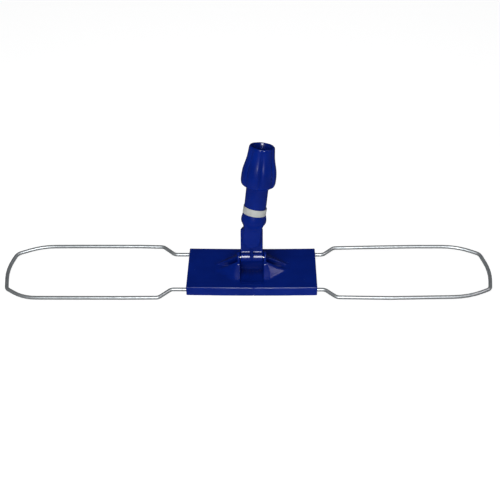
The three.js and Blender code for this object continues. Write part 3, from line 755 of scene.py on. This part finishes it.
# ---- Building the pieces ------------------------------------------------------------------------------
def build_plate():
    edge_x, edge_y = HALF_LENGTH - 5, HALF_DEPTH - 6
    mount = (-RIDGE_TIP - 3, RIDGE_TIP + 3)
    fine = (
        [(-HALF_LENGTH - 9, -edge_x), mount, (edge_x, HALF_LENGTH + 9)],
        [(-HALF_DEPTH - 9, -edge_y), (-FACET_FOOT[1] - 3, FACET_FOOT[1] + 3), (edge_y, HALF_DEPTH + 9)],
        None,
    )
    room = Vector((0, 2, 0))
    moulded("cover_shell", cover_shape, COVER_LOW - room, COVER_HIGH, 0.85, PLATE_FRAME, BLUE, "plate",
            "blue_plastic", "top_cover", fine=fine, coarse=3.2)
    low, high = size_mm("base_plate")
    moulded("base_panel", base_shape, low, high, 1.8, PLATE_FRAME, BLUE, "plate", "blue_plastic",
            "base_plate")


def build_neck():
    moulded("knuckle_body", knuckle_shape, (-17.5, -8, -8), (17.5, 8, 56), 0.75, NECK_FRAME, BLUE,
            "neck_link", "blue_plastic", "knuckle")
    fine = (None, None, [(-16, 43), (THREAD_START - 2, TUBE_END + 2)])
    moulded("pole_tube", socket_shape, (-19.5, -19.5, -14), (19.5, 19.5, 115), 0.95, HEAD_FRAME, BLUE,
            "pole_socket", "blue_plastic", "socket", fine=fine, coarse=1.9)
    points, quads = revolved(nut_outline(), 196, nut_section)
    new_piece("fluted_nut", points, quads, HEAD_FRAME, BLUE, "nut", "blue_plastic", "collar_nut")
    points, quads = revolved(ring_outline(), 96)
    new_piece("white_ring", points, quads, ring_frame(), BAND, "pole_socket", "white_band",
              "marker_ring")
    moulded("split_collet", collet_shape, (-16.5, -16.5, 114), (16.5, 16.5, 136.5), 1.2, HEAD_FRAME,
            BLUE, "collet", "blue_plastic", "collet")


def build_wires():
    for side, hand, bends in ((-1, "left", LEFT_BENDS), (1, "right", RIGHT_BENDS)):
        node = f"wire_loop_{hand}"
        hooked_end = min(abs(corner.x) for corner in size_mm(node))
        crank = hooked_end + WIRE_RADIUS - bends[0][0]
        points, faces = wire_mesh(side, crank, bends)
        new_piece(f"steel_loop_{hand}", points, faces, PLATE_FRAME, ZINC, f"loop_{hand}",
                  "zinc_wire", node)


def build_screws():
    for side, hand in ((-1, "left"), (1, "right")):
        for end, place in ((-1, "front"), (1, "rear")):
            spot = PLATE_FRAME @ Matrix.Translation((side * BASE_X, end * BASE_Y, 0))
            turn = Matrix.Rotation(0.4 + side * 0.7 + end * 0.3, 4, "Z")
            moulded(f"countersunk_screw_{hand}_{place}", flat_screw_shape, (-3.4, -3.4, 0),
                    (3.4, 3.4, 13), 0.45, spot @ turn, PLATED, "plate", "pin_steel",
                    f"base_screw_{hand}_{place}")


def finish_cad_nodes():
    """Pieces that keep their CAD mesh get softened edges and a finished material."""
    kept = {"clamp_bar": (BLUE, "blue_plastic"), "clamp_screw": (PLATED, "pin_steel"),
            "hinge_pin": (PLATED, "pin_steel"), "side_pin": (PLATED, "pin_steel")}
    for name, node in frame["nodes"].items():
        for start, (material, slot) in kept.items():
            if name.startswith(start):
                node.data.materials.clear()
                node.data.materials.append(material)
                bevel = node.modifiers.new("soft_edges", "BEVEL")
                bevel.width = 0.25 * MM
                bevel.segments = 2
                bevel.angle_limit = math.radians(40)


# ---- Stage ----------------------------------------------------------------------------------------------
CAMERA_PLACE = (0.018, -1.012, 0.900)
CAMERA_DOWN, CAMERA_TURN, CAMERA_ROLL = 40.0, 1.17, -0.71
CAMERA_LENS = 62.0


def make_camera():
    data = bpy.data.cameras.new("camera")
    data.lens = CAMERA_LENS
    data.sensor_width = 36
    data.clip_end = 50
    camera = bpy.data.objects.new("camera", data)
    bpy.context.scene.collection.objects.link(camera)
    turn = Matrix.Rotation(math.radians(CAMERA_TURN), 4, "Z")
    pitch = Matrix.Rotation(math.radians(90 - CAMERA_DOWN), 4, "X")
    roll = Matrix.Rotation(math.radians(CAMERA_ROLL), 4, "Z")
    camera.matrix_world = Matrix.Translation(CAMERA_PLACE) @ turn @ pitch @ roll
    bpy.context.scene.camera = camera


def make_floor():
    """A pale lit table, like the glowing top of a product photographer's bench."""
    mesh = bpy.data.meshes.new("floor")
    half = 6
    mesh.from_pydata([(-half, -half, 0), (half, -half, 0), (half, half, 0), (-half, half, 0)], [],
                     [(0, 1, 2, 3)])
    n = Nodes("pale_floor")
    cloud = n.noise(3, 3)
    mesh.materials.append(n.finish(
        color=n.tint(cloud, (0.34, 0.34, 0.34), (0.36, 0.36, 0.36)), roughness=0.8, specular=0.0,
        glow=(1, 1, 1, 1), glow_strength=0.88))
    # The glow lights the part as soft light only, so the table isn't mirrored in the glossy plastic.
    n.material.cycles.emission_sampling = "NONE"
    floor = bpy.data.objects.new("floor", mesh)
    bpy.context.scene.collection.objects.link(floor)
    floor.visible_glossy = False


def soft_box(name, direction, distance, size, radiance, only=None, color=(1, 1, 1)):
    """An area light that faces the neck; it may give only soft light or only highlights."""
    data = bpy.data.lights.new(name, "AREA")
    data.shape = "RECTANGLE"
    data.size, data.size_y = size
    data.energy = radiance * math.pi * size[0] * size[1]
    data.color = color
    light = bpy.data.objects.new(name, data)
    bpy.context.scene.collection.objects.link(light)
    light.visible_glossy = only != "soft"
    light.visible_diffuse = only != "highlights"
    aim = Vector((0, 0, 0.05))
    away = Vector(direction).normalized()
    light.matrix_world = Matrix.Translation(aim + away * distance) @ away.to_track_quat(
        "Z", "Y").to_matrix().to_4x4()


def make_lights():
    world = bpy.data.worlds.new("studio")
    world.use_nodes = True
    background = world.node_tree.nodes["Background"]
    background.inputs["Color"].default_value = (0.9, 0.95, 1, 1)
    background.inputs["Strength"].default_value = 0.05
    bpy.context.scene.world = world
    soft_box("overhead", (0.0, 0.03, 1.0), 1.7, (0.7, 0.5), 8, "soft")
    soft_box("top_glint", (0.0, 0.03, 1.0), 1.7, (0.5, 0.4), 4, "highlights")
    soft_box("front_fill", (-0.12, -0.86, 0.5), 1.9, (1.4, 1.0), 4.7, "soft")
    soft_box("front_key", (0.02, -0.75, 0.66), 1.9, (0.5, 0.36), 66, "highlights")
    soft_box("right_box", (0.69, -0.12, 0.71), 1.7, (0.56, 0.56), 5.4, "highlights", (1, 0.92, 0.95))
    bpy.context.scene.view_settings.view_transform = "Standard"


make_camera()
make_floor()
make_lights()
build_plate()
build_neck()
build_wires()
build_screws()
finish_cad_nodes()
